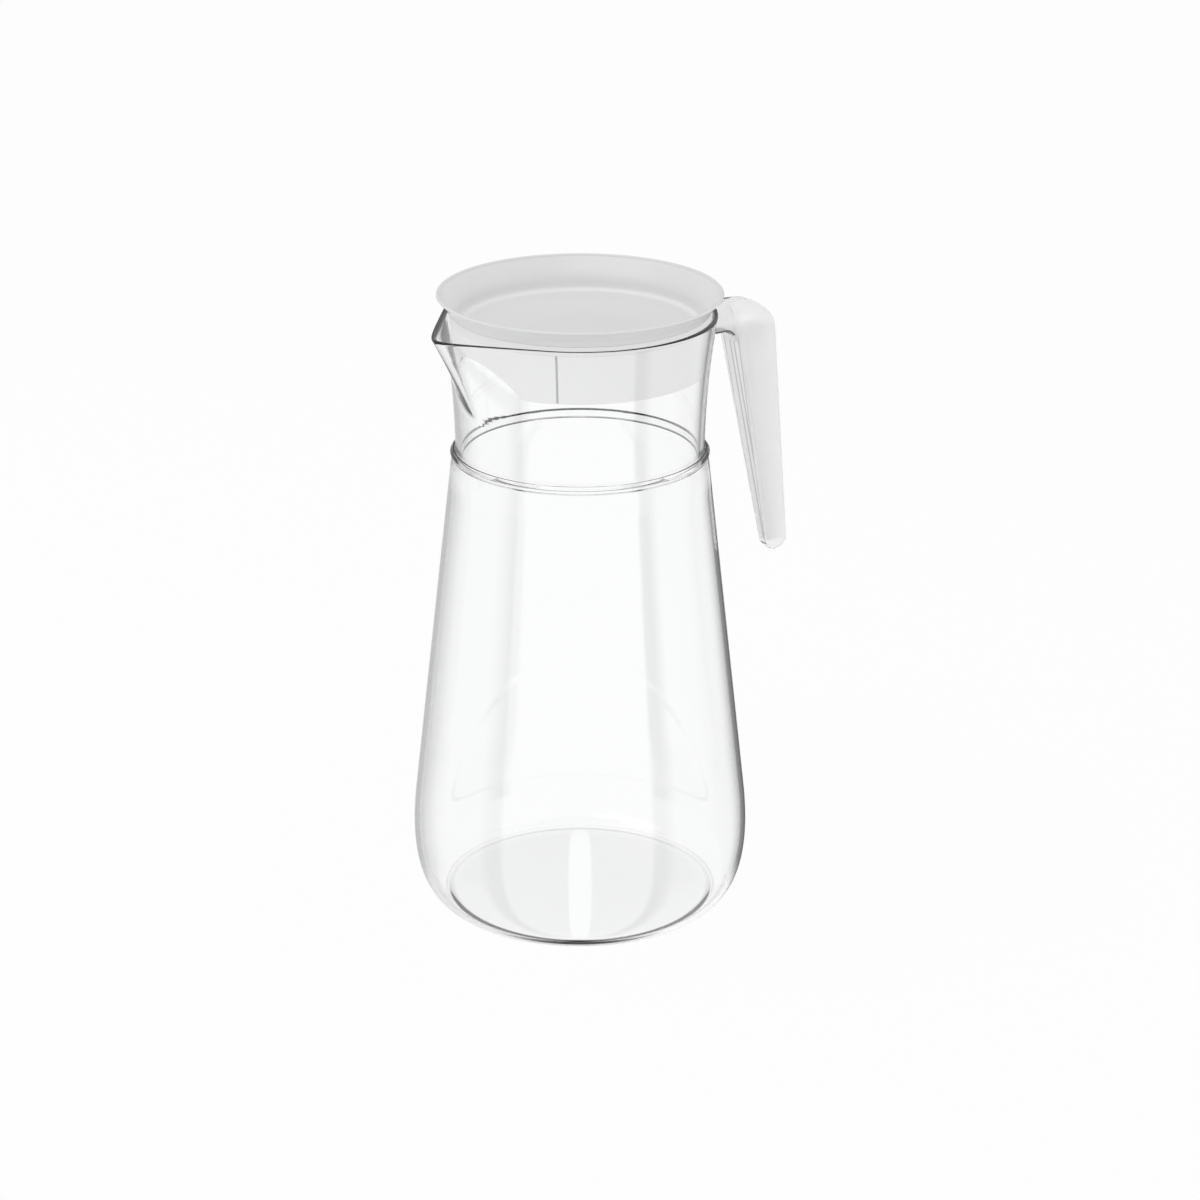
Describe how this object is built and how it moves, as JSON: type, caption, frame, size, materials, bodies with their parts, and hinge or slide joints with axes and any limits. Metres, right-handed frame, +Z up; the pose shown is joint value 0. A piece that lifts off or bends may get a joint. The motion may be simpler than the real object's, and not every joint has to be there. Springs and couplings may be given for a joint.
{
  "type": "plastic jug",
  "caption": "Clear tapering plastic jug with a flared spouted collar, an open-ended hanging handle and a white lid that lifts out and turns to open or close the spout.",
  "frame": {"origin": "centre of the flat base, on the surface the jug stands on", "axes": "+Z up the jug's axis, +X towards the handle, -X towards the spout, +Y across the jug"},
  "size_m": [0.1737, 0.1378, 0.26],
  "materials": {
    "clear_body": "crystal-clear moulded plastic",
    "clear_collar": "crystal-clear moulded plastic",
    "milky_handle": "slightly milky clear plastic",
    "white_lid": "satin white plastic",
    "white_skirt": "satin white plastic",
    "soft_seal": "soft off-white elastomer"
  },
  "bodies": {
    "jug": {"body": "clear_body", "collar": "clear_collar", "handle": "milky_handle"},
    "ring": {"lid_seal": "soft_seal"},
    "lid": {"lid_cover": "white_lid", "lid_skirt": "white_skirt"}
  },
  "joints": [
    {"name": "lid_lift", "type": "slide", "parent": "jug", "child": "ring", "axis": [0, 0, 1], "range_m": [0, 0.06]},
    {"name": "lid_turn", "type": "hinge", "parent": "ring", "child": "lid", "pos_m": [0, 0, 0.2515], "axis": [0, 0, 1], "continuous": true}
  ]
}
